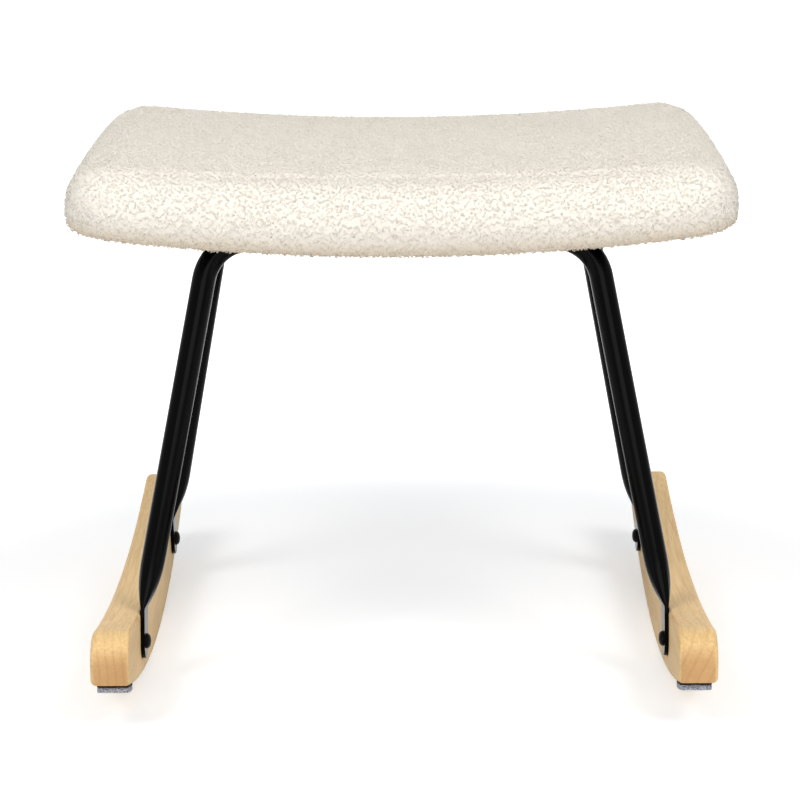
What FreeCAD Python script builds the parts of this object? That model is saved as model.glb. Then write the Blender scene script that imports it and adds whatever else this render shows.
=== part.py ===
import FreeCAD, Part
import math
import os

# Rocking footstool: an upholstered saddle seat on two bent tube legs and two wooden rockers.
# Millimetres. X runs along the seat, Y from front to rear, Z up. The origin is on the floor
# under the middle of the seat. The stool is the same at its front and rear, left and right.

V = FreeCAD.Vector
X_AXIS = V(1, 0, 0)
Y_AXIS = V(0, 1, 0)
Z_AXIS = V(0, 0, 1)

# Cushion, measured outside its cover
seat_width = 520.0
seat_depth = 384.0
seat_rim_z = 354.3           # lowest line of the cushion, at mid width
seat_height = 62.2           # from that line to the shoulder of the top edge
seat_crown = 6.0             # how far the middle of the top stands over the shoulders
seat_end_drop = 5.0          # how much the padding thins towards each end
saddle_radius = 1800.0       # the seat rises towards both ends on this radius
plan_corner_radius = 56.0
top_edge_radius = 34.0
bottom_edge_radius = 14.0
bottom_tuck = 4.0            # how far the sides are drawn in at the bottom edge
tuck_share = 0.22            # share of the tuck reached half way up the side
end_top_radius = 36.0
end_bottom_radius = 16.0

# Upholstery layers and board
cover_thickness = 2.2
hem_thickness = 1.5
hem_width = 14.0
edge_wrap = 5.5              # foam turned under the edge of the board
board_inset = 20.0           # cushion side to board edge
board_thickness = 12.0
underside_margin = 34.0      # board edge to the opening in the underside of the cover
lining_thickness = 0.8
layer_gap = 0.1              # between layers pressed together
soft_gap = 0.3               # around the foam

# Staples that hold the hem and the lining
staple_crown = 10.0
staple_leg = 6.0
staple_wire = 1.0
staples_long = 7             # along the front and along the rear
staples_short = 5            # along each end

# Bent tube legs
tube_radius = 9.5
tube_wall = 1.5
bend_radius = 38.0
leg_ref_z = 360.0
leg_ref_x = 150.8            # centre line of a leg at leg_ref_z
leg_ref_y = 60.0
leg_slope_x = 0.1925         # outward run for each millimetre down
leg_slope_y = 0.2400
flatten_length = 44.0        # from round tube to flat tab
flatten_power = 2.8          # the tube stays round longer, and closes faster, as this rises
flatten_steps = 6
tab_thickness = 3.8
bracket_corner_radius = 6.0

# Rockers
rocker_half_length = 240.0
rocker_outer_x = 239.7
rocker_thickness = 30.0
rocker_radius = 752.0
rocker_top_radius = 1200.0
rocker_middle_height = 56.0
rest_flat_length = 30.0      # the flat that each rocker stands still on
nose_top_radius = 24.0
nose_bottom_radius = 6.0
outer_edge_radius = 5.0
inner_edge_radius = 2.5

# Tab seat in the rocker, bolt and insert
bolt_z = 39.0
pinch_above_bolt = 25.0
recess_depth = 0.6
recess_clearance = 0.8
bolt_radius = 3.0
bolt_hole_radius = 3.3
bolt_head_radius = 6.15
bolt_head_height = 3.3
head_rim_share = 0.2         # of the head's height, upright at its rim
crown_flat_share = 0.42      # of the head's radius, flat round the socket
crown_mid_radius = 0.80
crown_mid_height = 0.72
bolt_length = 16.0
socket_across_flats = 4.0
socket_depth = 2.0
insert_radius = 4.5
insert_length = 15.0
thread_gap = 0.05
insert_gap = 0.05

# Seat brackets and their bolts
bracket_thickness = 3.0
bracket_width = 36.0
bracket_x = 95.0             # middle of a bracket
bracket_overhang = 14.0      # past the centre line of each tube
seat_bolt_y = 38.0
washer_radius = 6.5
washer_thickness = 1.2
nut_flange_radius = 9.0
nut_flange_thickness = 1.4
nut_barrel_radius = 4.0
nut_barrel_length = 9.0
weld_half_width = 7.0
weld_end_margin = 3.0
weld_gap = 0.05

# Felt stop pads
pad_width = 24.0
pad_length = 30.0
pad_nose_gap = 4.0           # rocker tip to pad end
felt_thickness = 4.0
backing_thickness = 1.2

parts_folder = "parts"
far = 400.0                  # past any piece
past = 20.0                  # past the piece being cut
through = 60.0               # the length of a cutter that goes right through
margin = 1.0                 # how far a close cutter stands out of what it cuts
touching = 0.01              # edges this near a face lie on it
upright_share = 0.9          # an edge with this much rise is upright
station_shares = (0, 0.4, 0.75, 0.92)       # sections along the straight half of the cushion
station_angles = (0, 22.5, 45, 67.5, 90)    # and round its corner, in degrees

round_share = math.sqrt(0.5)   # how far round an arc its middle point lies, each way

# Sizes that follow from the ones above
half_width = seat_width / 2
half_depth = seat_depth / 2
saddle_centre_z = seat_rim_z + saddle_radius
board_bottom_z = seat_rim_z + cover_thickness + edge_wrap
board_top_z = board_bottom_z + board_thickness
lining_top_z = board_bottom_z - layer_gap
lining_bottom_z = lining_top_z - lining_thickness
bracket_top_z = lining_bottom_z - layer_gap
bracket_bottom_z = bracket_top_z - bracket_thickness
bracket_inner_x = bracket_x - bracket_width / 2
rocker_inner_x = rocker_outer_x - rocker_thickness
tab_outer_x = rocker_inner_x + recess_depth - layer_gap
tab_inner_x = tab_outer_x - tab_thickness
tab_middle_x = (tab_outer_x + tab_inner_x) / 2
rest_flat_depth = rocker_radius - math.sqrt(rocker_radius ** 2 - (rest_flat_length / 2) ** 2)


def saddle_z(x, z):
    """Height at x of the curved surface that passes z at mid width."""
    radius = saddle_centre_z - z
    return saddle_centre_z - math.sqrt(radius * radius - x * x)


crossbar_z = saddle_z(bracket_inner_x, bracket_bottom_z) - tube_radius


def leg_x(z):
    return leg_ref_x + (leg_ref_z - z) * leg_slope_x


def leg_y(z):
    return leg_ref_y + (leg_ref_z - z) * leg_slope_y


bolt_y = leg_y(bolt_z)
pinch_z = bolt_z + pinch_above_bolt
crossbar_y = leg_y(crossbar_z)


def arc(a, b, c):
    return Part.Arc(a, b, c).toShape()


def line(a, b):
    return Part.LineSegment(a, b).toShape()


def extruded(edges, direction):
    return Part.Face(Part.Wire(edges)).extrude(direction)


def fused(shapes):
    whole = shapes[0]
    for shape in shapes[1:]:
        whole = whole.fuse(shape)
    return whole.removeSplitter()


def mirrored_x(shape):
    return shape.mirror(V(0, 0, 0), X_AXIS)


def mirrored_y(shape):
    return shape.mirror(V(0, 0, 0), Y_AXIS)


def four_corners(shape):
    """The shape at left front, and its mirror images at the other three corners."""
    pair = [shape, mirrored_x(shape)]
    return pair + [mirrored_y(s) for s in pair]


def on_saddle(shape, x):
    """Tilts a shape made at mid width so that it stands square on the saddle at x."""
    angle = math.degrees(math.asin(x / (saddle_centre_z - board_bottom_z)))
    tilted = shape.copy()
    tilted.rotate(V(0, 0, saddle_centre_z), Y_AXIS, -angle)
    return tilted


def band(z_low, z_high):
    """The layer between two saddle surfaces, wider and deeper than the seat."""
    def edge_points(z):
        return [V(x, -far, saddle_z(x, z)) for x in (-far, 0, far)]

    low = edge_points(z_low)
    high = edge_points(z_high)
    edges = [arc(*low), line(low[2], high[2]), arc(*reversed(high)), line(high[0], low[0])]
    return extruded(edges, V(0, 2 * far, 0))


def rounded_upright(block, radius):
    upright = [e for e in block.Edges if abs(e.tangentAt(e.FirstParameter).z) > upright_share]
    return block.makeFillet(radius, upright)


def plan_prism(half_x, half_y, radius):
    """An upright block with rounded corners in plan, taller than the seat."""
    box = Part.makeBox(2 * half_x, 2 * half_y, far, V(-half_x, -half_y, seat_rim_z - far / 2))
    return rounded_upright(box, radius)


def layer(z_low, z_high, half_x, half_y, radius):
    return band(z_low, z_high).common(plan_prism(half_x, half_y, radius))


def cushion_section(x, half_y, z_low, z_high, crown, scale):
    """A closed outline of the cushion across its depth, with drawn-in sides and a crown."""
    tuck = bottom_tuck * scale
    low_radius = bottom_edge_radius * scale
    high_radius = top_edge_radius * scale
    widest_z = z_high - high_radius
    side = [
        V(x, half_y - tuck - low_radius, z_low),
        V(x, half_y - tuck - low_radius * (1 - round_share), z_low + low_radius * (1 - round_share)),
        V(x, half_y - tuck, z_low + low_radius),
        V(x, half_y - tuck * tuck_share, (z_low + low_radius + widest_z) / 2),
        V(x, half_y, widest_z),
        V(x, half_y - high_radius * (1 - round_share), widest_z + high_radius * round_share),
        V(x, half_y - high_radius, z_high),
    ]
    other = [V(p.x, -p.y, p.z) for p in side]
    edges = [line(other[0], side[0])]
    edges += [arc(side[i], side[i + 1], side[i + 2]) for i in (0, 2, 4)]
    edges.append(arc(side[6], V(x, 0, z_high + crown), other[6]))
    edges += [arc(other[i], other[i - 1], other[i - 2]) for i in (6, 4, 2)]
    return Part.Wire(edges)


def cushion_form(inset):
    """The crowned saddle cushion, as a loft along its width, all faces moved in by inset."""
    half_x = half_width - inset
    corner = plan_corner_radius - inset
    high_end = end_top_radius - inset
    low_end = end_bottom_radius - inset
    straight = half_x - corner
    stations = [straight * share for share in station_shares]
    stations += [straight + corner * math.sin(math.radians(a)) for a in station_angles]
    stations = [-x for x in reversed(stations[1:])] + stations

    def rounding(x, radius):
        over = max(0.0, abs(x) - (half_x - radius))
        return radius - math.sqrt(max(0.0, radius * radius - over * over))

    sections = []
    for x in stations:
        end_share = (x / half_x) ** 2
        z_low = saddle_z(x, seat_rim_z + inset) + rounding(x, low_end)
        shoulder = saddle_z(x, seat_rim_z) + seat_height - inset - seat_end_drop * end_share
        z_high = shoulder - rounding(x, high_end)
        scale = (z_high - z_low) / seat_height
        half_y = half_depth - inset - rounding(x, corner)
        sections.append(cushion_section(x, half_y, z_low, z_high, seat_crown * scale, scale))
    return Part.makeLoft(sections, True, False)


board_half_x = half_width - board_inset
board_half_y = half_depth - board_inset
board_corner = plan_corner_radius - board_inset
open_half_x = board_half_x - underside_margin
open_half_y = board_half_y - underside_margin
open_corner = board_corner


def underside(z_low, z_high, grow):
    """A layer of the opening's outline, grown all round by grow."""
    return layer(z_low, z_high, open_half_x + grow, open_half_y + grow, open_corner + grow)


below_seat_z = seat_rim_z - past


def make_seat_cover():
    """Boucle skin: wraps the foam, turns up inside the underside opening, ends in a flat hem."""
    recess = underside(below_seat_z, board_bottom_z - hem_thickness, 0)
    kept = underside(below_seat_z, board_bottom_z, cover_thickness)
    cavity = cushion_form(cover_thickness).cut(kept)
    hem_opening = underside(board_bottom_z - 2 * hem_thickness, board_bottom_z, -hem_width)
    cover = cushion_form(0).cut(recess).cut(cavity).cut(hem_opening)
    for cutter in make_staples(layer_gap):
        cover = cover.cut(cutter)
    return cover


def make_foam_pad():
    whole = cushion_form(cover_thickness + soft_gap)
    opening = underside(below_seat_z, board_bottom_z + layer_gap, cover_thickness + soft_gap)
    board_space = layer(
        board_bottom_z,
        board_top_z + soft_gap,
        board_half_x + soft_gap,
        board_half_y + soft_gap,
        board_corner + soft_gap,
    )
    return whole.cut(opening).cut(board_space)


def seat_bolt_axes():
    return [(x, y) for x in (-bracket_x, bracket_x) for y in (-seat_bolt_y, seat_bolt_y)]


def at_seat_bolts(shape):
    """Copies of a shape made on the Z axis, one on each seat bolt's axis."""
    placed = []
    for x, y in seat_bolt_axes():
        moved = shape.copy()
        moved.translate(V(0, y, 0))
        placed.append(on_saddle(moved, x))
    return placed


def staple(gap):
    """One staple at mid width, crown along X, its legs up through lining, hem and board."""
    crown_z = board_bottom_z - hem_thickness - 2 * layer_gap - lining_thickness - layer_gap
    wire = staple_wire + 2 * gap
    span = staple_crown + 2 * gap
    crown = Part.makeBox(span, wire, wire, V(-span / 2, -wire / 2, crown_z - staple_wire - gap))
    legs = []
    for side in (-1, 1):
        middle = side * (staple_crown - staple_wire) / 2
        corner = V(middle - wire / 2, -wire / 2, crown_z - staple_wire - gap)
        legs.append(Part.makeBox(wire, wire, staple_leg + staple_wire + 2 * gap, corner))
    return fused([crown] + legs)


def make_staples(gap):
    """The staples round the underside opening, each one grown by gap."""
    inset = hem_width / 2
    placed = []
    for side in (-1, 1):
        row_y = side * (open_half_y - inset)
        reach = open_half_x - open_corner
        for i in range(staples_long):
            x = -reach + 2 * reach * i / (staples_long - 1)
            one = staple(gap)
            one.translate(V(0, row_y, 0))
            placed.append(on_saddle(one, x))
        reach = open_half_y - open_corner
        for i in range(staples_short):
            y = -reach + 2 * reach * i / (staples_short - 1)
            one = staple(gap)
            one.rotate(V(0, 0, 0), Z_AXIS, 90)
            one.translate(V(0, y, 0))
            placed.append(on_saddle(one, side * (open_half_x - inset)))
    return placed


def make_seat_board():
    """Bent plywood, drilled and counterbored for the tee nuts."""
    low_z = board_bottom_z + layer_gap
    board = layer(low_z, board_top_z, board_half_x, board_half_y, board_corner)
    hole = Part.makeCylinder(nut_barrel_radius + insert_gap, through, V(0, 0, board_bottom_z - past))
    seat_z = board_top_z - nut_flange_thickness - layer_gap
    counterbore = Part.makeCylinder(nut_flange_radius + layer_gap, past, V(0, 0, seat_z))
    for cutter in at_seat_bolts(hole.fuse(counterbore)) + make_staples(layer_gap):
        board = board.cut(cutter)
    return board


def make_dust_cover():
    """Lining: flat against the board, with its edge stepped down over the hem."""
    edge_drop = hem_thickness + layer_gap
    inner = -hem_width - layer_gap
    middle = underside(lining_bottom_z, lining_top_z, inner)
    step = underside(lining_bottom_z - edge_drop, lining_top_z, inner).cut(
        underside(lining_bottom_z - edge_drop, lining_top_z, inner - lining_thickness)
    )
    edge = underside(lining_bottom_z - edge_drop, lining_top_z - edge_drop, -layer_gap).cut(
        underside(lining_bottom_z - edge_drop, lining_top_z - edge_drop, inner - lining_thickness)
    )
    lining = fused([middle, step, edge])
    hole = Part.makeCylinder(nut_barrel_radius, through, V(0, 0, board_bottom_z - past))
    for cutter in at_seat_bolts(hole) + make_staples(layer_gap):
        lining = lining.cut(cutter)
    return lining


def make_tee_nut():
    flange_z = board_top_z - nut_flange_thickness - layer_gap / 2
    flange = Part.makeCylinder(nut_flange_radius, nut_flange_thickness, V(0, 0, flange_z))
    barrel_z = flange_z - nut_barrel_length
    barrel = Part.makeCylinder(nut_barrel_radius, nut_barrel_length, V(0, 0, barrel_z))
    bore_length = nut_barrel_length + nut_flange_thickness
    bore = Part.makeCylinder(bolt_radius + thread_gap, bore_length, V(0, 0, barrel_z))
    return fused([flange, barrel]).cut(bore)


def button_head_bolt(length):
    """A hex socket button head bolt along +Z, its head's flat underside at the origin."""
    rim = V(bolt_head_radius, 0, 0)
    rim_top = V(bolt_head_radius, 0, -bolt_head_height * head_rim_share)
    crown_edge = V(bolt_head_radius * crown_flat_share, 0, -bolt_head_height)
    crown_mid = V(bolt_head_radius * crown_mid_radius, 0, -bolt_head_height * crown_mid_height)
    top = V(0, 0, -bolt_head_height)
    edges = [
        line(V(0, 0, 0), rim),
        line(rim, rim_top),
        arc(rim_top, crown_mid, crown_edge),
        line(crown_edge, top),
        line(top, V(0, 0, 0)),
    ]
    head = Part.Face(Part.Wire(edges)).revolve(V(0, 0, 0), Z_AXIS, 360)
    shank = Part.makeCylinder(bolt_radius, length)
    corner_radius = socket_across_flats / math.sqrt(3)
    corners = [
        V(corner_radius * math.cos(a * math.pi / 3), corner_radius * math.sin(a * math.pi / 3), 0)
        for a in range(7)
    ]
    socket = Part.Face(Part.makePolygon(corners)).extrude(V(0, 0, socket_depth))
    socket.translate(V(0, 0, -bolt_head_height))
    return fused([head, shank]).cut(socket)


def make_seat_bolts():
    bolt = button_head_bolt(bolt_length)
    bolt.translate(V(0, 0, bracket_bottom_z - washer_thickness - 2 * layer_gap))
    return at_seat_bolts(bolt)


def make_seat_washers():
    low_z = bracket_bottom_z - washer_thickness - layer_gap
    washer = Part.makeCylinder(washer_radius, washer_thickness, V(0, 0, low_z))
    hole = Part.makeCylinder(bolt_hole_radius, washer_thickness, V(0, 0, low_z))
    return at_seat_bolts(washer.cut(hole))


bracket_half_length = crossbar_y + bracket_overhang


def make_bracket(side):
    """A strap pressed to the seat's curve, lying across both tubes."""
    strap = band(bracket_bottom_z, bracket_top_z)
    blank = Part.makeBox(
        bracket_width,
        2 * bracket_half_length,
        far,
        V(side * bracket_x - bracket_width / 2, -bracket_half_length, seat_rim_z - far / 2),
    )
    strap = strap.common(rounded_upright(blank, bracket_corner_radius))
    hole = Part.makeCylinder(bolt_hole_radius, through, V(0, 0, board_bottom_z - past))
    for cutter in at_seat_bolts(hole):
        strap = strap.cut(cutter)
    return strap


def make_bracket_welds():
    """The weld metal between each bracket and each tube."""
    length = bracket_width - 2 * weld_end_margin
    low = V(-bracket_x - length / 2, -crossbar_y - weld_half_width, crossbar_z + tube_radius / 2)
    block = Part.makeBox(length, 2 * weld_half_width, tube_radius, low)
    tube = Part.makeCylinder(tube_radius + weld_gap, far, V(-far, -crossbar_y, crossbar_z), X_AXIS)
    above = band(bracket_bottom_z - weld_gap, bracket_bottom_z + 2 * tube_radius)
    weld = block.cut(tube).cut(above)
    return four_corners(weld)


def leg_point(x, z):
    """A point in the plane of the front leg tube."""
    return V(x, -leg_y(z), z)


flatten_start_z = pinch_z + flatten_length
down_left = (leg_point(-leg_x(0), 0) - leg_point(-leg_x(leg_ref_z), leg_ref_z)).normalize()


def round_tube(radius):
    """The round stretch: left leg, bend, crossbar, bend and right leg, as solid bars."""
    corner = leg_point(-leg_x(crossbar_z), crossbar_z)
    start = leg_point(-leg_x(flatten_start_z), flatten_start_z)
    turn = math.acos((down_left * -1).dot(X_AXIS))
    tangent = bend_radius * math.tan(turn / 2)
    before = corner + down_left * tangent
    after = corner + X_AXIS * tangent
    bisector = (down_left + X_AXIS).normalize()
    centre = corner + bisector * math.hypot(bend_radius, tangent)
    bend_axis = down_left.cross(X_AXIS).normalize()
    disc = Part.Face(Part.Wire(Part.Circle(before, down_left, radius).toShape()))
    bend = disc.revolve(centre, bend_axis, -math.degrees(turn))
    leg = Part.makeCylinder(radius, (start - before).Length, start, down_left * -1)
    crossbar = Part.makeCylinder(radius, -2 * after.x, after, X_AXIS)
    return fused([leg, bend, crossbar, mirrored_x(bend), mirrored_x(leg)])


def squashed_ring(centre, across, thin, half_thin, wall):
    """A tube section pressed to 2 * half_thin, its outline kept as long as the round tube's."""
    half_wide = half_thin + math.pi * (tube_radius - half_thin) / 2
    a = half_thin - wall
    b = half_wide - wall
    corner_b = b - a + a * round_share
    corner_a = a * round_share

    def at(p, q):
        return centre + across * p + thin * q

    edges = [
        arc(at(corner_b, -corner_a), at(b, 0), at(corner_b, corner_a)),
        arc(at(corner_b, corner_a), at(0, a), at(-corner_b, corner_a)),
        arc(at(-corner_b, corner_a), at(-b, 0), at(-corner_b, -corner_a)),
        arc(at(-corner_b, -corner_a), at(0, -a), at(corner_b, -corner_a)),
    ]
    return Part.Wire(edges)


tab_down = V(0, -leg_slope_y, -1).normalize()


def flattening(wall):
    """The left front stretch where the round tube is pressed down to the tab."""
    sections = []
    pinch = V(-tab_middle_x, -leg_y(pinch_z), pinch_z)
    for i in range(flatten_steps + 1):
        share = i / flatten_steps
        ease = share * share * (3 - 2 * share)
        z = flatten_start_z + (pinch_z - flatten_start_z) * share
        centre = leg_point(-leg_x(z), z)
        centre.x += (pinch.x + leg_x(pinch_z)) * ease
        along = (down_left * (1 - ease) + tab_down * ease).normalize()
        thin = (X_AXIS - along * X_AXIS.dot(along)).normalize()
        across = along.cross(thin)
        press = share ** flatten_power
        half_thin = tube_radius + (tab_thickness / 2 - tube_radius) * press
        sections.append(squashed_ring(centre, across, thin, half_thin, wall))
    return Part.makeLoft(sections, True, False)


tab_half_width = tab_thickness / 2 + math.pi * (tube_radius - tab_thickness / 2) / 2


def tab_outline(half_breadth, x_low, thickness, rise):
    """A strip that ends round at the bolt, as a block from x_low; rise is its length up."""
    centre = V(x_low, -bolt_y, bolt_z)
    up = tab_down * -1
    side = V(0, up.z, -up.y)
    top = centre + up * rise
    edges = [
        line(top - side * half_breadth, centre - side * half_breadth),
        arc(centre - side * half_breadth, centre + tab_down * half_breadth, centre + side * half_breadth),
        line(centre + side * half_breadth, top + side * half_breadth),
        line(top + side * half_breadth, top - side * half_breadth),
    ]
    return extruded(edges, V(thickness, 0, 0))


def cross_hole(radius, x_low, length):
    return Part.makeCylinder(radius, length, V(x_low, -bolt_y, bolt_z), X_AXIS)


def make_front_leg():
    """One tube bent into an upside-down U, hollow down to its two flattened, drilled tabs."""
    rise = pinch_above_bolt * math.hypot(1, leg_slope_y)
    tab = tab_outline(tab_half_width, -tab_outer_x, tab_thickness, rise)
    tab = tab.cut(cross_hole(bolt_hole_radius, -tab_outer_x - margin, tab_thickness + 2 * margin))
    left_end = flattening(0)
    hollow_end = flattening(tube_wall)
    outer = fused([round_tube(tube_radius), left_end, mirrored_x(left_end), tab, mirrored_x(tab)])
    hollow = fused([round_tube(tube_radius - tube_wall), hollow_end, mirrored_x(hollow_end)])
    return outer.cut(hollow)


def rocker_z(y):
    """The curved underside, whose lowest stretch the rest flat cuts away."""
    return rocker_radius - rest_flat_depth - math.sqrt(rocker_radius ** 2 - y * y)


def rocker_top_z(y):
    return rocker_middle_height + rocker_top_radius - math.sqrt(rocker_top_radius ** 2 - y * y)


def make_left_rocker():
    """A curved board with rounded nose and edges, recessed and drilled for two tabs."""
    x = -rocker_outer_x
    end = rocker_half_length
    low = [V(x, y, rocker_z(y)) for y in (-end, 0, end)]
    high = [V(x, y, rocker_top_z(y)) for y in (-end, 0, end)]
    edges = [arc(*low), line(low[2], high[2]), arc(*reversed(high)), line(high[0], low[0])]
    board = extruded(edges, V(rocker_thickness, 0, 0))

    def cross_edges(shape, is_top):
        found = []
        for e in shape.Edges:
            box = e.BoundBox
            if box.XLength < rocker_thickness - margin:
                continue
            if (box.Center.z > rocker_top_z(end) - margin) == is_top:
                found.append(e)
        return found

    board = board.makeFillet(nose_top_radius, cross_edges(board, True))
    board = board.makeFillet(nose_bottom_radius, cross_edges(board, False)[:2])
    outer_edges = [e for e in board.Edges if e.BoundBox.XMax < x + touching]
    board = board.makeFillet(outer_edge_radius, outer_edges)
    inner_edges = [e for e in board.Edges if e.BoundBox.XMin > -rocker_inner_x - touching]
    board = board.makeFillet(inner_edge_radius, inner_edges)
    below_floor = Part.makeBox(far, 2 * far, past, V(-far, -far, -past))
    board = board.cut(below_floor)

    recess_floor_x = -rocker_inner_x - recess_depth
    seat_half_width = tab_half_width + recess_clearance
    seat = tab_outline(seat_half_width, recess_floor_x, recess_depth + margin, through)
    bore_x = recess_floor_x - insert_length - margin
    bore = cross_hole(insert_radius + insert_gap, bore_x, insert_length + 2 * margin)
    for cutter in (seat, bore):
        board = board.cut(cutter).cut(mirrored_y(cutter))
    return board


def make_insert():
    """A threaded sleeve in the rocker, flush with the floor of the recess."""
    x_low = -rocker_inner_x - recess_depth - insert_length
    return cross_hole(insert_radius, x_low, insert_length).cut(
        cross_hole(bolt_radius + thread_gap, x_low, insert_length)
    )


def make_rocker_bolt():
    bolt = button_head_bolt(bolt_length)
    bolt.rotate(V(0, 0, 0), Y_AXIS, -90)
    bolt.translate(V(-tab_inner_x + layer_gap, -bolt_y, bolt_z))
    return bolt


def pad_layer(top_depth, thickness):
    """A strip under the left front rocker tip, following the curved underside."""
    ends = [-(rocker_half_length - pad_nose_gap), -(rocker_half_length - pad_nose_gap - pad_length)]
    angles = [math.asin(y / rocker_radius) for y in ends]
    angles.insert(1, sum(angles) / 2)
    x = -rocker_inner_x - pad_width - inner_edge_radius / 2

    def points(depth):
        radius = rocker_radius + depth
        centre_z = rocker_radius - rest_flat_depth
        return [V(x, radius * math.sin(a), centre_z - radius * math.cos(a)) for a in angles]

    high = points(top_depth)
    low = points(top_depth + thickness)
    edges = [arc(*low), line(low[2], high[2]), arc(*reversed(high)), line(high[0], low[0])]
    return extruded(edges, V(pad_width, 0, 0))


def export(name, solids):
    shape = solids[0] if len(solids) == 1 else Part.makeCompound(solids)
    for solid in shape.Solids:
        if not solid.isValid():
            print("not valid:", name)
    shape.exportStep(os.path.join(parts_folder, name + ".step"))
    box = shape.BoundBox
    print(
        "%-24s solids %2d volume %10.0f  x %7.1f %7.1f  y %7.1f %7.1f  z %6.1f %6.1f"
        % (name, len(shape.Solids), shape.Volume, box.XMin, box.XMax, box.YMin, box.YMax, box.ZMin, box.ZMax)
    )


def main():
    os.makedirs(parts_folder, exist_ok=True)
    export("seat_cover", [make_seat_cover()])
    export("foam_pad", [make_foam_pad()])
    export("seat_board", [make_seat_board()])
    export("dust_cover", [make_dust_cover()])
    export("cover_staples", make_staples(0))
    export("tee_nuts", at_seat_bolts(make_tee_nut()))
    export("seat_bolts", make_seat_bolts())
    export("seat_washers", make_seat_washers())
    export("left_seat_bracket", [make_bracket(-1)])
    export("right_seat_bracket", [make_bracket(1)])
    export("bracket_welds", make_bracket_welds())

    front_leg = make_front_leg()
    export("front_leg_tube", [front_leg])
    export("rear_leg_tube", [mirrored_y(front_leg)])

    left_rocker = make_left_rocker()
    export("left_rocker", [left_rocker])
    export("right_rocker", [mirrored_x(left_rocker)])
    export("rocker_inserts", four_corners(make_insert()))
    export("rocker_bolts", four_corners(make_rocker_bolt()))

    corner_names = ("front_left", "front_right", "rear_left", "rear_right")
    backings = four_corners(pad_layer(layer_gap, backing_thickness))
    felts = four_corners(pad_layer(backing_thickness + 2 * layer_gap, felt_thickness))
    for name, backing, felt in zip(corner_names, backings, felts):
        export(name + "_pad_backing", [backing])
        export(name + "_felt_pad", [felt])


main()
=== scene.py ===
import math

import bpy
import numpy as np
from mathutils import Matrix, Vector, noise


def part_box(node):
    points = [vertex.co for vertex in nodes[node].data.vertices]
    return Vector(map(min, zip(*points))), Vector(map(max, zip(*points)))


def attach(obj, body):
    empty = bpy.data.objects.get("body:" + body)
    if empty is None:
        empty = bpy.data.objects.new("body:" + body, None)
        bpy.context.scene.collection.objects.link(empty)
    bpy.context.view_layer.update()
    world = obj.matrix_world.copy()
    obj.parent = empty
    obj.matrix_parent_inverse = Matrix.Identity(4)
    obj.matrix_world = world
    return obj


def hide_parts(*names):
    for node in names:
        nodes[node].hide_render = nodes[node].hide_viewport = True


# Looks of the rocking footstool. Metres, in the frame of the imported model: X along the seat,
# Y from front to rear, Z up, the floor at zero.

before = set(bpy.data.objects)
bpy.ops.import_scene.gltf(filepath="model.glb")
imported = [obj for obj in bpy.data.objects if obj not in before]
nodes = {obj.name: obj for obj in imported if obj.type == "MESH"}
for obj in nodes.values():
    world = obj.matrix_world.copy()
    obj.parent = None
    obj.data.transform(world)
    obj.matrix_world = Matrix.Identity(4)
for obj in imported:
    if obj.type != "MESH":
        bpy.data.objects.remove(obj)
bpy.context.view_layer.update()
rng = np.random.default_rng(7)
BODY = "root"

# Cushion outline. It follows the CAD cover, with slightly tighter edges and corners.
cover_low, cover_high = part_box("seat_cover")
half_width = cover_high.x
half_depth = 0.192
rim_z = cover_low.z
seat_height = 0.0622
crown = 0.006
end_drop = 0.005
saddle_radius = 1.8
corner_radius = 0.047        # in plan; the CAD cover has 56 mm
top_edge = 0.034
bottom_edge = 0.012
tuck = 0.004
tuck_power = 2.18
end_top = 0.033
end_bottom = 0.011

# Upholstery
pile_depth = 0.0026          # skin to the tips of the curls
slack = 0.0010               # how much smaller than the skin the pad starts before it swells
inset_start = pile_depth + slack
swell_cap = 0.0025           # the furthest that a point of the pad may swell outward
swell_frames = 20
held_top = 0.030             # height above the underside from which the pad swells freely
held_fade = 0.020            # below that height, the stretch over which it becomes held fast
underside = -0.5             # a normal whose Z is below this faces down
voxel = 0.005
lining_low, lining_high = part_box("dust_cover")
board_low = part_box("seat_board")[0]
opening_x = lining_high.x + 0.0001
opening_y = lining_high.y + 0.0001
opening_radius = 0.036
recess_ceiling = board_low.z + 0.002
recess_fade = 0.005          # width of the step from the hem up to the recess
saddle_centre_z = rim_z + saddle_radius

# Curls of the pile
curls_per_m2 = 130000
under_share = 0.45           # of that, on the underside
curl_radius = (0.00080, 0.00125)
yarn_radius = (0.00030, 0.00042)
curl_turn = (4.6, 6.4)       # radians of each loop
curl_tilt = (0.30, 1.10)     # radians from lying flat
curl_rise = (0.0001, 0.0008)  # centre of each loop above the skin
curl_drift = 0.0012          # the furthest that a loop's two ends stand apart along its axis
curl_steps = 5
curl_sides = 3
faces_per_piece = 190000

# Lining and felt pads
lining_cell = 0.004
lining_gap = 0.0006          # between the lining's edge and the recess
lining_hem = 0.014           # strip along the edge that lies on the folded fabric
lining_drop = 0.0016         # how much lower that strip lies
lining_thickness = 0.0005
felt_voxel = 0.0008
felt_roughness = 0.00022
felt_fibres = 700            # points tried on each pad; those on its top are left out
fibre_length = (0.0004, 0.0013)
fibre_radius = 0.00007

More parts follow.
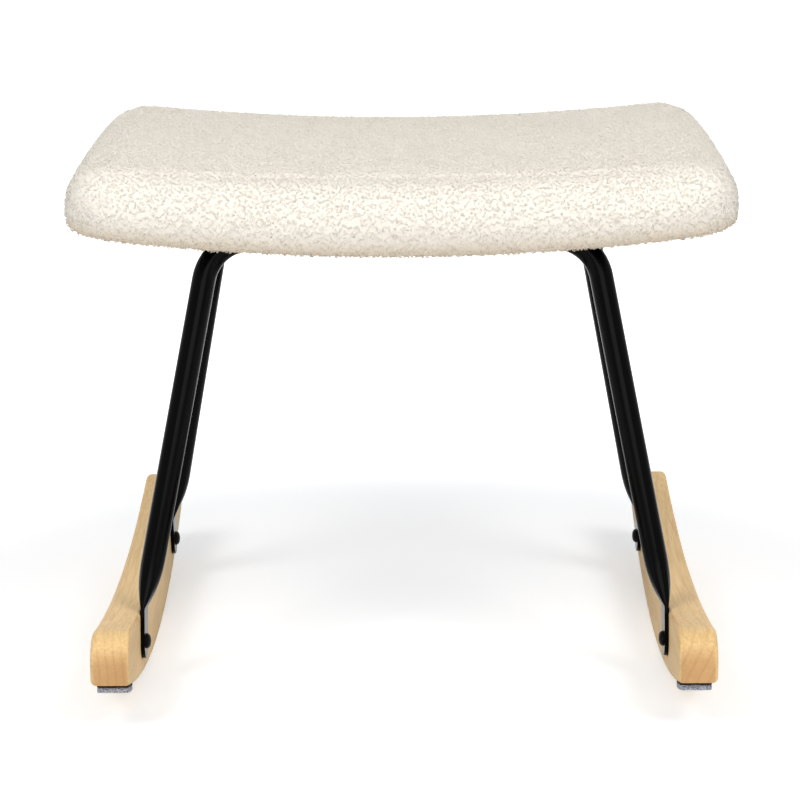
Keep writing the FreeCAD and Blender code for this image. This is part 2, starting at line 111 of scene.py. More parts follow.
# Studio: lamps are (name, place, (width, height), watts, colour)
floor_colour = (0.79, 0.80, 0.815)
floor_glow = 0.42
floor_fade = (0.40, 0.80)    # metres from the stool, over which the floor turns plain white
world_light = 0.36
world_tint = (0.96, 0.98, 1.0)
white = (1.0, 1.0, 1.0)
black = (0.0, 0.0, 0.0)
warm, cool = (1.0, 0.982, 0.95), (0.97, 0.985, 1.0)
lamps = [
    ("front_left", (-1.7, -1.9, 2.9), (1.1, 1.5), 42, warm),
    ("front_right", (1.7, -1.9, 2.9), (1.1, 1.5), 42, warm),
    ("front", (0.2, -3.2, 1.3), (2.4, 1.4), 29, (1.0, 0.955, 0.90)),
    ("rear", (0.0, 2.8, 2.0), (1.8, 1.2), 18, cool),
]
lamp_target = Vector((0, 0, 0.25))
camera_at = Vector((0.0135, -2.1856, 0.7665))
camera_pitch = 0.2531
camera_yaw = -0.0077
camera_roll = -0.0076
camera_lens = 121.94


def saddle_z(x, z):
    """Height at x of the curved surface that passes z at mid width."""
    radius = saddle_centre_z - z
    return saddle_centre_z - math.sqrt(radius * radius - x * x)


def rounding(over, radius):
    """How far a round of that radius has dropped, over past where it starts."""
    over = min(max(over, 0.0), radius)
    return radius - math.sqrt(radius * radius - over * over)


def cushion_outline(x, inset):
    """The cushion's closed outline at x, all faces moved in by inset, as (y, z) points."""
    half_x = half_width - inset
    corner = corner_radius - inset
    past = abs(x) - half_x
    end_low, end_high = end_bottom - inset, end_top - inset
    z_low = saddle_z(x, rim_z + inset) + rounding(past + end_low, end_low)
    shoulder = saddle_z(x, rim_z) + seat_height - inset - end_drop * (x / half_x) ** 2
    z_high = shoulder - rounding(past + end_high, end_high)
    scale = (z_high - z_low) / seat_height
    half_y = half_depth - inset - rounding(past + corner, corner)
    low_r, high_r, in_low = bottom_edge * scale, top_edge * scale, tuck * scale
    widest_z = z_high - high_r
    side = []
    for a in np.linspace(-math.pi / 2, 0, 7):
        y = half_y - in_low - low_r + low_r * math.cos(a)
        side.append((y, z_low + low_r + low_r * math.sin(a)))
    for t in np.linspace(0, 1, 7)[1:-1]:
        z = z_low + low_r + (widest_z - z_low - low_r) * t
        side.append((half_y - in_low * (1 - t) ** tuck_power, z))
    for a in np.linspace(0, math.pi / 2, 10):
        side.append((half_y - high_r + high_r * math.cos(a), widest_z + high_r * math.sin(a)))
    reach = half_y - high_r
    top = [
        (y, z_high + crown * scale * (1 - (y / reach) ** 2))
        for y in np.linspace(reach, -reach, 31)[1:-1]
    ]
    bottom = [(y, z_low) for y in np.linspace(-side[0][0], side[0][0], 31)[1:-1]]
    return side + top + [(-y, z) for y, z in reversed(side)] + bottom


def cushion_solid(name, inset):
    """The cushion as a closed mesh of outlines side by side, closer together at its ends."""
    half_x = half_width - inset
    turn = np.linspace(0, math.pi / 2, 13)
    outer = half_x - corner_radius + corner_radius * np.sin(turn)
    xs = np.concatenate([np.linspace(0, half_x - corner_radius, 24)[:-1], outer])
    xs = np.concatenate([-xs[:0:-1], xs])
    rows = [[Vector((x, y, z)) for y, z in cushion_outline(float(x), inset)] for x in xs]
    count = len(rows[0])
    points = [p for row in rows for p in row]
    faces = [tuple(range(count)), tuple(reversed(range(len(points) - count, len(points))))]
    for i in range(len(rows) - 1):
        for j in range(count):
            k = (j + 1) % count
            faces.append((i * count + j, (i + 1) * count + j, (i + 1) * count + k, i * count + k))
    mesh = bpy.data.meshes.new(name)
    mesh.from_pydata(points, [], faces)
    mesh.update()
    return link(bpy.data.objects.new(name, mesh))


def link(obj):
    """Puts a new object in the scene."""
    bpy.context.scene.collection.objects.link(obj)
    return obj


def coords(obj):
    """The object's vertices as an array."""
    out = np.empty(len(obj.data.vertices) * 3)
    obj.data.vertices.foreach_get("co", out)
    return out.reshape(-1, 3)


def normals(obj):
    """The normals of the object's vertices as an array."""
    out = np.empty(len(obj.data.vertices) * 3, np.float32)
    obj.data.vertices.foreach_get("normal", out)
    return out.reshape(-1, 3).astype(float)


def set_coords(obj, co):
    obj.data.vertices.foreach_set("co", co.ravel())
    obj.data.update()


def bake_modifiers(obj):
    """Replaces the object's mesh with what its modifiers make of it."""
    graph = bpy.context.evaluated_depsgraph_get()
    made = bpy.data.meshes.new_from_object(obj.evaluated_get(graph), depsgraph=graph)
    obj.modifiers.clear()
    old = obj.data
    obj.data = made
    bpy.data.meshes.remove(old)
    return obj


def smooth_shaded(obj):
    """Sets every face of the object to smooth shading."""
    obj.data.polygons.foreach_set("use_smooth", np.ones(len(obj.data.polygons), bool))


def remesh(obj, size):
    """Replaces the object's mesh with one of even voxels of that size."""
    modifier = obj.modifiers.new("remesh", "REMESH")
    modifier.mode = "VOXEL"
    modifier.voxel_size = size
    modifier.use_smooth_shade = True
    return bake_modifiers(obj)


def rounded_rectangle(x, y, half_x, half_y, radius):
    """Signed distance from points in plan to a rounded rectangle, negative inside."""
    over_x = np.abs(x) - half_x + radius
    over_y = np.abs(y) - half_y + radius
    outside = np.hypot(np.maximum(over_x, 0), np.maximum(over_y, 0))
    return outside + np.minimum(np.maximum(over_x, over_y), 0) - radius


def smooth_step(t):
    """0 up to t = 0, 1 from t = 1, with a smooth change between."""
    t = np.clip(t, 0, 1)
    return t * t * (3 - 2 * t)


def swell(obj):
    """Lets the cover swell like padding held down at its underside, by no more than swell_cap."""
    start = coords(obj)
    outward = normals(obj)
    up = outward[:, 2]
    bottom = rim_z + inset_start
    saddle_rise = (start[:, 0] ** 2) / (2 * saddle_radius)
    held = smooth_step((bottom + held_top - start[:, 2] + saddle_rise) / held_fade)
    held = np.maximum(held, (up < underside) * 1.0)
    group = obj.vertex_groups.new(name="held")
    for i, weight in enumerate(held):
        group.add([i], float(weight), "REPLACE")
    cloth = obj.modifiers.new("cloth", "CLOTH")
    settings = cloth.settings
    settings.quality = 5
    settings.mass = 0.3
    settings.tension_stiffness = 15
    settings.compression_stiffness = 15
    settings.shear_stiffness = 5
    settings.bending_stiffness = 2
    settings.use_pressure = True
    settings.uniform_pressure_force = 4
    settings.vertex_group_mass = "held"
    settings.effector_weights.gravity = 0
    cloth.collision_settings.use_self_collision = False
    cloth.point_cache.frame_start = 1
    cloth.point_cache.frame_end = swell_frames
    scene = bpy.context.scene
    for number in range(1, swell_frames + 1):
        scene.frame_set(number)
    graph = bpy.context.evaluated_depsgraph_get()
    moved = obj.evaluated_get(graph)
    end = np.empty(len(moved.data.vertices) * 3)
    moved.data.vertices.foreach_get("co", end)
    shift = end.reshape(-1, 3) - start
    obj.modifiers.clear()
    scene.frame_set(1)
    rise = np.clip((shift * outward).sum(axis=1), 0, swell_cap)
    set_coords(obj, start + outward * rise[:, None])


def make_pad():
    """The swollen, closed skin of the cushion, before its pile, with the recess under it."""
    pad = cushion_solid("seat_cushion", inset_start)
    remesh(pad, voxel)
    swell(pad)
    co = coords(pad)
    up = normals(pad)[:, 2]
    edge = rounded_rectangle(co[:, 0], co[:, 1], opening_x, opening_y, opening_radius)
    low = up < underside
    ceiling = saddle_centre_z - np.sqrt((saddle_centre_z - recess_ceiling) ** 2 - co[:, 0] ** 2)
    share = smooth_step(-edge / recess_fade) * low
    co[:, 2] += (ceiling - co[:, 2]) * share
    set_coords(pad, co)
    return pad


def mesh_from_arrays(name, points, quads, triangles, uv=None):
    """A mesh from arrays of quads and triangles, with one UV pair for each corner."""
    mesh = bpy.data.meshes.new(name)
    mesh.vertices.add(len(points))
    mesh.vertices.foreach_set("co", points.ravel())
    corners = np.concatenate([quads.ravel(), triangles.ravel()])
    mesh.loops.add(len(corners))
    mesh.loops.foreach_set("vertex_index", corners.astype(np.int32))
    starts = np.concatenate([
        np.arange(len(quads)) * 4,
        len(quads) * 4 + np.arange(len(triangles)) * 3,
    ])
    mesh.polygons.add(len(starts))
    mesh.polygons.foreach_set("loop_start", starts.astype(np.int32))
    if uv is not None:
        layer = mesh.uv_layers.new(name="OFBake")
        layer.uv.foreach_set("vector", uv.ravel().astype(np.float32))
    mesh.update(calc_edges=True)
    mesh.polygons.foreach_set("use_smooth", np.ones(len(starts), bool))
    return mesh


def curl_seeds(pad):
    """Points and normals spread evenly over the skin outside the recess, about curls_per_m2."""
    co = coords(pad)
    faces = np.array([f.vertices[:] for f in pad.data.polygons if len(f.vertices) == 4])
    a, b, c, d = (co[faces[:, i]] for i in range(4))
    cross = np.cross(c - a, d - b)
    area = np.linalg.norm(cross, axis=1) / 2
    normal = cross / np.maximum(np.linalg.norm(cross, axis=1), 1e-12)[:, None]
    wanted = area * curls_per_m2 * np.where(normal[:, 2] < -0.8, under_share, 1.0)
    number = np.floor(wanted + rng.random(len(faces))).astype(int)
    middle = (a + b + c + d) / 4
    edge = rounded_rectangle(middle[:, 0], middle[:, 1], opening_x, opening_y, opening_radius)
    number[(normal[:, 2] < -0.3) & (edge < 0.0015)] = 0
    face = np.repeat(np.arange(len(faces)), number)
    order = np.concatenate([np.arange(n) for n in number if n]) if number.sum() else np.array([])
    share = (order + rng.random(len(face))) / number[face]
    across = rng.random(len(face))
    p = a[face] + (b - a)[face] * share[:, None]
    q = d[face] + (c - d)[face] * share[:, None]
    return p + (q - p) * across[:, None], normal[face]


def between(limits, count):
    """That many random numbers between the two limits."""
    return limits[0] + (limits[1] - limits[0]) * rng.random(count)


def curl_mesh(name, at, normal):
    """Loops of yarn, one at each seed, standing in the skin at mixed angles."""
    n = len(at)
    guide = rng.normal(size=(n, 3))
    along = np.cross(normal, guide)
    along /= np.linalg.norm(along, axis=1)[:, None]
    side = np.cross(normal, along)
    tilt = between(curl_tilt, n)[:, None]
    lifted = side * np.cos(tilt) + normal * np.sin(tilt)
    axis = np.cross(along, lifted)
    radius = between(curl_radius, n)
    yarn = between(yarn_radius, n)
    turn = between(curl_turn, n)
    first = rng.random(n) * 2 * math.pi
    drift = (rng.random(n) * 2 - 1) * curl_drift
    centre = at + normal * between(curl_rise, n)[:, None]
    t = np.linspace(0, 1, curl_steps + 1)
    angle = first[:, None] + turn[:, None] * t
    radial = along[:, None] * np.cos(angle)[..., None] + lifted[:, None] * np.sin(angle)[..., None]
    shrink = 1 - 0.25 * t[None, :, None]
    line = centre[:, None] + radial * radius[:, None, None] * shrink
    line += axis[:, None] * (drift[:, None] * (t - 0.5))[..., None]
    around = np.arange(curl_sides) * 2 * math.pi / curl_sides
    thick = yarn[:, None] * (1 - 0.35 * np.abs(2 * t - 1) ** 3)
    ring = radial[:, :, None] * np.cos(around)[:, None]
    ring = ring + axis[:, None, None] * np.sin(around)[:, None]
    points = (line[:, :, None] + ring * thick[:, :, None, None]).reshape(-1, 3)
    rings, sides = curl_steps + 1, curl_sides
    k, s = np.meshgrid(np.arange(curl_steps), np.arange(sides), indexing="ij")
    k, s = k.ravel(), s.ravel()
    nxt = (s + 1) % sides
    quad = np.stack([k * sides + s, k * sides + nxt, (k + 1) * sides + nxt, (k + 1) * sides + s], 1)
    base = np.arange(n)[:, None, None] * rings * sides
    quads = (base + quad).reshape(-1, 4)
    caps = np.array([list(range(sides))[::-1], list(range((rings - 1) * sides, rings * sides))])
    triangles = (base + caps).reshape(-1, 3)
    # Each curl has its own cell of the UV square, and its end caps a spot in that cell's margin
    cells = math.ceil(math.sqrt(n))
    corner_u = np.stack([k, k, k + 1, k + 1], 1) / curl_steps
    corner_v = np.stack([s, s + 1, s + 1, s], 1) / sides
    margin = 0.12
    cell = np.stack([np.arange(n) % cells, np.arange(n) // cells], 1)[:, None, None]
    inner = margin + (1 - 2 * margin) * np.stack([corner_u, corner_v], 2)
    quad_uv = ((cell + inner) / cells).reshape(-1, 2)
    cap_uv = margin * np.array([[[1, 1], [1.2, 1], [1, 1.2]], [[7, 7], [7.2, 7], [7, 7.2]]])
    triangle_uv = ((cell + cap_uv) / cells).reshape(-1, 2)
    return mesh_from_arrays(name, points, quads, triangles, np.concatenate([quad_uv, triangle_uv]))


def shader(name, roughness, **sockets):
    """A new material: (material, its nodes, its links, its Principled node)."""
    material = bpy.data.materials.new(name)
    material.use_nodes = True
    tree = material.node_tree
    principled = tree.nodes["Principled BSDF"]
    principled.inputs["Roughness"].default_value = roughness
    for key, value in sockets.items():
        principled.inputs[key.replace("_", " ")].default_value = value
    return material, tree.nodes, tree.links, principled


def place(nodes_, links, scale):
    """Object coordinates, stretched by scale."""
    where = nodes_.new("ShaderNodeTexCoord")
    mapping = nodes_.new("ShaderNodeMapping")
    mapping.inputs["Scale"].default_value = scale
    links.new(where.outputs["Object"], mapping.inputs["Vector"])
    return mapping.outputs["Vector"]


def noise_at(nodes_, links, scale, detail=3.0, rough=0.6, stretch=(1, 1, 1)):
    """Noise with features about 1 / scale metres across."""
    texture = nodes_.new("ShaderNodeTexNoise")
    texture.inputs["Scale"].default_value = scale
    texture.inputs["Detail"].default_value = detail
    texture.inputs["Roughness"].default_value = rough
    links.new(place(nodes_, links, stretch), texture.inputs["Vector"])
    return texture.outputs["Fac"]


def ramp(nodes_, links, value, stops):
    """Colours by value: stops is a list of (position, (r, g, b))."""
    made = nodes_.new("ShaderNodeValToRGB")
    while len(made.color_ramp.elements) < len(stops):
        made.color_ramp.elements.new(0.5)
    for element, (position, colour) in zip(made.color_ramp.elements, stops):
        element.position = position
        element.color = (*colour, 1)
    links.new(value, made.inputs["Fac"])
    return made.outputs["Color"]


def mix(nodes_, links, factor, first, second, kind="MIX"):
    """Mixes two colours. factor is a number or an output."""
    made = nodes_.new("ShaderNodeMix")
    made.data_type = "RGBA"
    made.blend_type = kind
    for key, value in (("Factor", factor), ("A", first), ("B", second)):
        socket = next(s for s in made.inputs if s.name == key and s.enabled)
        if isinstance(value, (int, float)):
            socket.default_value = value
        elif isinstance(value, tuple):
            socket.default_value = (*value, 1)
        else:
            links.new(value, socket)
    return next(s for s in made.outputs if s.enabled)


def spread(nodes_, links, value, low, high, start=0.0, end=1.0, kind="LINEAR"):
    """A value from start..end spread over low..high."""
    made = nodes_.new("ShaderNodeMapRange")
    made.interpolation_type = kind
    for key, level in (("From Min", start), ("From Max", end), ("To Min", low), ("To Max", high)):
        made.inputs[key].default_value = level
    links.new(value, made.inputs["Value"])
    return made.outputs["Result"]


def maths(nodes_, links, kind, *values):
    """A math node. Each value is a number or an output."""
    made = nodes_.new("ShaderNodeMath")
    made.operation = kind
    for socket, value in zip(made.inputs, values):
        if isinstance(value, (int, float)):
            socket.default_value = value
        else:
            links.new(value, socket)
    return made.outputs[0]


def split_xyz(nodes_, links, kind):
    """X, Y and Z of the texture coordinate of that kind."""
    where = nodes_.new("ShaderNodeTexCoord")
    split = nodes_.new("ShaderNodeSeparateXYZ")
    links.new(where.outputs[kind], split.inputs[0])
    return split.outputs["X"], split.outputs["Y"], split.outputs["Z"]


def bump(nodes_, links, height, strength, distance, principled):
    """Links a bump of that strength and height in metres to the shader's normal."""
    made = nodes_.new("ShaderNodeBump")
    made.inputs["Strength"].default_value = strength
    made.inputs["Distance"].default_value = distance
    links.new(height, made.inputs["Height"])
    links.new(made.outputs["Normal"], principled.inputs["Normal"])


def lower_edge_shade_mask(nodes_, links):
    """Mask of the painted shade: 0 along the cushion's lowest edge, 1 from a little above it."""
    x, _, z = split_xyz(nodes_, links, "Object")
    square = maths(nodes_, links, "MULTIPLY", x, x)
    level = maths(nodes_, links, "MULTIPLY_ADD", square, -1 / (2 * saddle_radius), z)
    return spread(nodes_, links, level, 0.0, 1.0, rim_z - 0.002, rim_z + 0.022, "SMOOTHSTEP")


def boucle_material():
    """Ivory yarn: small differences in tone from curl to curl, painted warm shade along the lowest
    edge, and twisted fibres in each.
    """
    m, n, l, p = shader(
        "boucle_yarn", 0.92, Sheen_Weight=0.2, Sheen_Roughness=0.5, Specular_IOR_Level=0.2,
    )
    tone = ramp(n, l, noise_at(n, l, 260, 2.0), [
        (0.30, (0.89, 0.850, 0.780)), (0.50, (0.93, 0.897, 0.835)), (0.75, (0.95, 0.925, 0.875)),
    ])
    cast = ramp(n, l, noise_at(n, l, 14, 2.0), [(0.35, (0.98, 0.97, 0.96)), (0.65, white)])
    tone = mix(n, l, 1.0, tone, cast, "MULTIPLY")
    # Painted shade: a mottled tan is multiplied onto the curls near the lowest edge. It stands in
    # for shadow and warm bounce light there.
    tan = ramp(n, l, noise_at(n, l, 330, 2.0), [
        (0.40, (0.82, 0.70, 0.53)), (0.62, (0.99, 0.95, 0.89)),
    ])
    edge = mix(n, l, lower_edge_shade_mask(n, l), tan, white)
    l.new(mix(n, l, 1.0, tone, edge, "MULTIPLY"), p.inputs["Base Color"])
    bump(n, l, noise_at(n, l, 3200, 2.0, 0.7), 0.4, 0.0003, p)
    return m


def skin_material():
    """The knitted ground under the curls, a little deeper in tone as painted shade between them,
    and darker towards the lowest edge as painted shade.
    """
    m, n, l, p = shader("boucle_ground", 0.95, Specular_IOR_Level=0.1)
    # Painted shade: the ground is a little deeper in tone than the yarn, so the gaps between curls
    # read darker.
    tone = ramp(n, l, noise_at(n, l, 420, 3.0), [
        (0.3, (0.88, 0.83, 0.75)), (0.7, (0.95, 0.92, 0.865)),
    ])
    # Painted shade: darker and warmer towards the cushion's lowest edge.
    edge = mix(n, l, lower_edge_shade_mask(n, l), (0.86, 0.76, 0.62), white)
    l.new(mix(n, l, 1.0, tone, edge, "MULTIPLY"), p.inputs["Base Color"])
    bump(n, l, noise_at(n, l, 900, 3.0), 0.5, 0.0006, p)
    return m


def wood_material(name, heart_x, heart_z, ring_rate):
    """Pale close-grained wood, sawn along Y: rings about a heart line, fibres and small flecks."""
    m, n, l, p = shader(name, 0.45, Specular_IOR_Level=0.09)
    x, _, z = split_xyz(n, l, "Object")
    _, facing_y, _ = split_xyz(n, l, "Normal")
    facing_end = maths(n, l, "ABSOLUTE", facing_y)
    end_grain = ramp(n, l, facing_end, [(0.72, black), (0.98, white)])
    sway = spread(n, l, noise_at(n, l, 9, 2.0, 0.5, (1, 0.35, 1)), -0.012, 0.012)
    dx = maths(n, l, "ADD", maths(n, l, "SUBTRACT", x, heart_x), sway)
    dz = maths(n, l, "SUBTRACT", z, heart_z)
    square_x = maths(n, l, "MULTIPLY", dx, dx)
    square_z = maths(n, l, "MULTIPLY", dz, dz)
    away = maths(n, l, "SQRT", maths(n, l, "ADD", square_x, square_z))
    rings = maths(n, l, "SINE", maths(n, l, "MULTIPLY", away, ring_rate))
    late = ramp(n, l, rings, [(0.45, black), (1.0, white)])
    fibre = noise_at(n, l, 520, 4.0, 0.65, (1, 0.03, 1))
    broad = noise_at(n, l, 26, 2.0, 0.5, (1, 0.2, 1))
    along = ramp(n, l, fibre, [
        (0.30, (0.735, 0.480, 0.215)), (0.52, (0.850, 0.605, 0.305)), (0.75, (0.900, 0.665, 0.360)),
    ])
    across = ramp(n, l, fibre, [(0.30, (0.600, 0.355, 0.160)), (0.75, (0.655, 0.410, 0.200))])
    tone = mix(n, l, end_grain, along, across)
    depth = mix(n, l, end_grain, (0.16, 0.16, 0.16), (0.42, 0.42, 0.42))
    line = mix(n, l, 1.0, late, depth, "MULTIPLY")
    tone = mix(n, l, line, tone, (0.520, 0.300, 0.130))
    wash = ramp(n, l, broad, [(0.35, (0.94, 0.92, 0.88)), (0.65, (1.04, 1.03, 1.01))])
    tone = mix(n, l, 1.0, tone, wash, "MULTIPLY")
    cells = n.new("ShaderNodeTexVoronoi")
    cells.inputs["Scale"].default_value = 330
    cells.inputs["Randomness"].default_value = 1
    l.new(place(n, l, (1, 0.16, 1)), cells.inputs["Vector"])
    spots = ramp(n, l, cells.outputs["Distance"], [(0.05, white), (0.14, black)])
    fleck = mix(n, l, 0.22, black, spots)
    l.new(mix(n, l, fleck, tone, (0.36, 0.21, 0.095)), p.inputs["Base Color"])
    l.new(spread(n, l, fibre, 0.38, 0.54), p.inputs["Roughness"])
    bump(n, l, fibre, 0.08, 0.0004, p)
    return m


def paint_material():
    """Satin black powder coat, with its fine orange peel."""
    m, n, l, p = shader("black_powder_coat", 0.25, Specular_IOR_Level=0.05)
    tone = ramp(n, l, noise_at(n, l, 30, 2.0), [
        (0.3, (0.0004, 0.0005, 0.0006)), (0.7, (0.0010, 0.0011, 0.0012)),
    ])
    l.new(tone, p.inputs["Base Color"])
    l.new(spread(n, l, noise_at(n, l, 60, 4.0), 0.13, 0.21), p.inputs["Roughness"])
    bump(n, l, noise_at(n, l, 900, 2.0), 0.03, 0.0002, p)
    return m


def bolt_material():
    """Black oxide on the bolt heads, rubbed a little in scattered spots."""
    m, n, l, p = shader("black_bolt", 0.33, Specular_IOR_Level=0.07)
    rubbed = ramp(n, l, noise_at(n, l, 500, 4.0), [
        (0.55, (0.003, 0.003, 0.0035)), (0.85, (0.022, 0.022, 0.024)),
    ])
    l.new(rubbed, p.inputs["Base Color"])
    l.new(spread(n, l, noise_at(n, l, 900, 3.0), 0.26, 0.44), p.inputs["Roughness"])
    bump(n, l, noise_at(n, l, 2200, 2.0), 0.12, 0.0001, p)
    return m


def zinc_material():
    """Dull zinc plate on the small hidden fittings."""
    m, n, l, p = shader("zinc_plate", 0.38, Metallic=1.0)
    tone = ramp(n, l, noise_at(n, l, 700, 4.0), [
        (0.3, (0.42, 0.43, 0.42)), (0.7, (0.62, 0.62, 0.60)),
    ])
    l.new(tone, p.inputs["Base Color"])
    l.new(spread(n, l, noise_at(n, l, 300, 4.0), 0.28, 0.50), p.inputs["Roughness"])
    bump(n, l, noise_at(n, l, 2500, 2.0), 0.1, 0.0001, p)
    return m


def felt_material():
    """Pressed blue-grey felt with darker and paler fibres."""
    m, n, l, p = shader("grey_felt", 0.95, Sheen_Weight=0.3, Specular_IOR_Level=0.1)
    tone = ramp(n, l, noise_at(n, l, 900, 4.0, 0.7), [
        (0.36, (0.07, 0.08, 0.11)), (0.50, (0.30, 0.32, 0.38)), (0.64, (0.60, 0.62, 0.70)),
    ])
    l.new(tone, p.inputs["Base Color"])
    bump(n, l, noise_at(n, l, 2400, 3.0, 0.7), 0.8, 0.0004, p)
    return m


def backing_material():
    """Matt black adhesive foam behind each felt pad."""
    m, n, l, p = shader("pad_backing", 0.8, Specular_IOR_Level=0.2)
    tone = ramp(n, l, noise_at(n, l, 1500, 3.0), [
        (0.3, (0.006, 0.006, 0.006)), (0.7, (0.018, 0.017, 0.016)),
    ])
    l.new(tone, p.inputs["Base Color"])
    bump(n, l, noise_at(n, l, 2000, 2.0), 0.3, 0.0002, p)
    return m


def lining_material():
    """Black non-woven lining: loose fibres with a grid of small pressed spots."""
    m, n, l, p = shader("black_lining", 0.9, Specular_IOR_Level=0.25)
    fibre = noise_at(n, l, 1300, 5.0, 0.75, (1, 0.5, 1))
    spots = n.new("ShaderNodeTexVoronoi")
    spots.inputs["Scale"].default_value = 520
    spots.inputs["Randomness"].default_value = 0.15
    l.new(place(n, l, (1, 1, 0.1)), spots.inputs["Vector"])
    pressed = ramp(n, l, spots.outputs["Distance"], [(0.16, white), (0.26, black)])
    tone = ramp(n, l, fibre, [(0.35, (0.008, 0.008, 0.009)), (0.68, (0.040, 0.040, 0.042))])
    spot = mix(n, l, 0.6, black, pressed)
    l.new(mix(n, l, spot, tone, (0.006, 0.006, 0.007)), p.inputs["Base Color"])
    bump(n, l, mix(n, l, 0.5, fibre, pressed, "SUBTRACT"), 0.6, 0.0003, p)
    return m


def plywood_material():
    """Birch plywood: face grain along X and thin layers on its edges."""
    m, n, l, p = shader("birch_plywood", 0.6, Specular_IOR_Level=0.3)
    fibre = noise_at(n, l, 300, 4.0, 0.65, (0.04, 1, 1))
    plies = noise_at(n, l, 650, 1.0, 0.5, (0.02, 0.02, 1))
    tone = ramp(n, l, fibre, [(0.3, (0.52, 0.36, 0.19)), (0.7, (0.70, 0.54, 0.33))])
    dark = ramp(n, l, plies, [(0.45, (0.75, 0.68, 0.60)), (0.55, white)])
    l.new(mix(n, l, 1.0, tone, dark, "MULTIPLY"), p.inputs["Base Color"])
    bump(n, l, fibre, 0.2, 0.0003, p)
    return m


def weld_material():
    """The same black paint over the waves of a weld bead."""
    m, n, l, p = shader("painted_weld", 0.34, Specular_IOR_Level=0.1)
    tone = ramp(n, l, noise_at(n, l, 80, 3.0), [
        (0.3, (0.0015, 0.0015, 0.0018)), (0.7, (0.004, 0.004, 0.0042)),
    ])
    l.new(tone, p.inputs["Base Color"])
    waves = n.new("ShaderNodeTexWave")
    waves.bands_direction = "X"
    waves.inputs["Scale"].default_value = 210
    waves.inputs["Distortion"].default_value = 2.5
    l.new(place(n, l, (1, 1, 1)), waves.inputs["Vector"])
    bump(n, l, waves.outputs["Fac"], 0.6, 0.0006, p)
    return m


def finish_piece(obj, material):
    """Gives a new piece its material and slot, and lets it ride on the one body."""
    obj.data.materials.clear()
    obj.data.materials.append(material)
    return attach(obj, BODY)


def make_cushion():
    """The padded seat: a knitted skin over the swollen pad, covered with curls of yarn."""
    pad = make_pad()
    at, normal = curl_seeds(pad)
    divide = pad.modifiers.new("divide", "SUBSURF")
    divide.levels = 1
    divide.render_levels = 1
    bake_modifiers(pad)
    smooth_shaded(pad)
    finish_piece(pad, skin_material())
    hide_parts("seat_cover", "foam_pad")
    yarn = boucle_material()
    per_curl = curl_steps * curl_sides * 2 + 2
    pieces = math.ceil(len(at) * per_curl / faces_per_piece)
    turn = np.arctan2(at[:, 1] / half_depth, at[:, 0] / half_width)
    groups = np.array_split(np.argsort(turn), pieces)
    for i, group in enumerate(groups):
        name = "seat_pile_%d" % (i + 1)
        pile = link(bpy.data.objects.new(name, curl_mesh(name, at[group], normal[group])))
        finish_piece(pile, yarn)
    print("curls", len(at), "pile pieces", pieces, "skin faces", len(pad.data.polygons))


def make_lining():
    """The lining: flat on the board, stepped down over the hem, slightly rippled inside the hem."""
    nx = round(2 * opening_x / lining_cell)
    ny = round(2 * opening_y / lining_cell)
    half_x, half_y = opening_x - lining_gap, opening_y - lining_gap
    radius = saddle_centre_z - lining_low.z - lining_drop
    points, index = [], {}
    for i in range(nx + 1):
        for j in range(ny + 1):
            u, v = 2 * i / nx - 1, 2 * j / ny - 1
            x, y = half_x * u, half_y * v
            over = float(rounded_rectangle(x, y, half_x, half_y, opening_radius))
            if over > 0:
                cx = math.copysign(half_x - opening_radius, x)
                cy = math.copysign(half_y - opening_radius, y)
                pull = opening_radius / math.hypot(x - cx, y - cy)
                x, y = cx + (x - cx) * pull, cy + (y - cy) * pull
                over = 0.0
            down = lining_drop * float(smooth_step((over + lining_hem) / 0.002))
            loose = float(smooth_step((-over - lining_hem) / 0.02))
            ripple = noise.noise(Vector((x * 22, y * 22, 0.3)))
            ripple += 0.5 * noise.noise(Vector((x * 60, y * 60, 4.0)))
            lift = loose * 0.0005 * (0.6 + ripple)
            z = saddle_centre_z - math.sqrt(radius * radius - x * x) - down + max(lift, 0.0)
            index[i, j] = len(points)
            points.append((x, y, z + 0.00015))
    faces = []
    for i in range(nx):
        for j in range(ny):
            faces.append((index[i, j], index[i, j + 1], index[i + 1, j + 1], index[i + 1, j]))
    mesh = bpy.data.meshes.new("seat_lining")
    mesh.from_pydata(points, [], faces)
    mesh.update()
    sheet = link(bpy.data.objects.new("seat_lining", mesh))
    thick = sheet.modifiers.new("thick", "SOLIDIFY")
    thick.thickness = lining_thickness
    thick.offset = -1
    bake_modifiers(sheet)
    smooth_shaded(sheet)
    finish_piece(sheet, lining_material())
    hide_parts("dust_cover")


def make_felt_pad(node, felt):
    """A pressed felt pad: soft edges, uneven faces and a few loose fibres."""
    mesh = nodes[node].data.copy()
    pad = link(bpy.data.objects.new(node.replace("_pad", "_stop"), mesh))
    pad.data.name = pad.name
    remesh(pad, felt_voxel)
    smooth = pad.modifiers.new("smooth", "SMOOTH")
    smooth.iterations = 4
    smooth.factor = 0.5
    bake_modifiers(pad)
    co, normal = coords(pad), normals(pad)
    rough = np.array([
        noise.noise(Vector(p * 700)) + 0.6 * noise.noise(Vector(p * 1900)) for p in co
    ])
    set_coords(pad, co + normal * (felt_roughness * rough)[:, None])
    co, normal = coords(pad), normals(pad)
    chosen = rng.choice(len(co), felt_fibres, replace=False)
    chosen = chosen[normal[chosen][:, 2] < 0.3]
    fibre_mesh = fibres(pad.name + "_fibres", co[chosen], normal[chosen])
    loose = link(bpy.data.objects.new(pad.name + "_fibres", fibre_mesh))
    finish_piece(pad, felt)
    finish_piece(loose, felt)
    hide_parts(node)


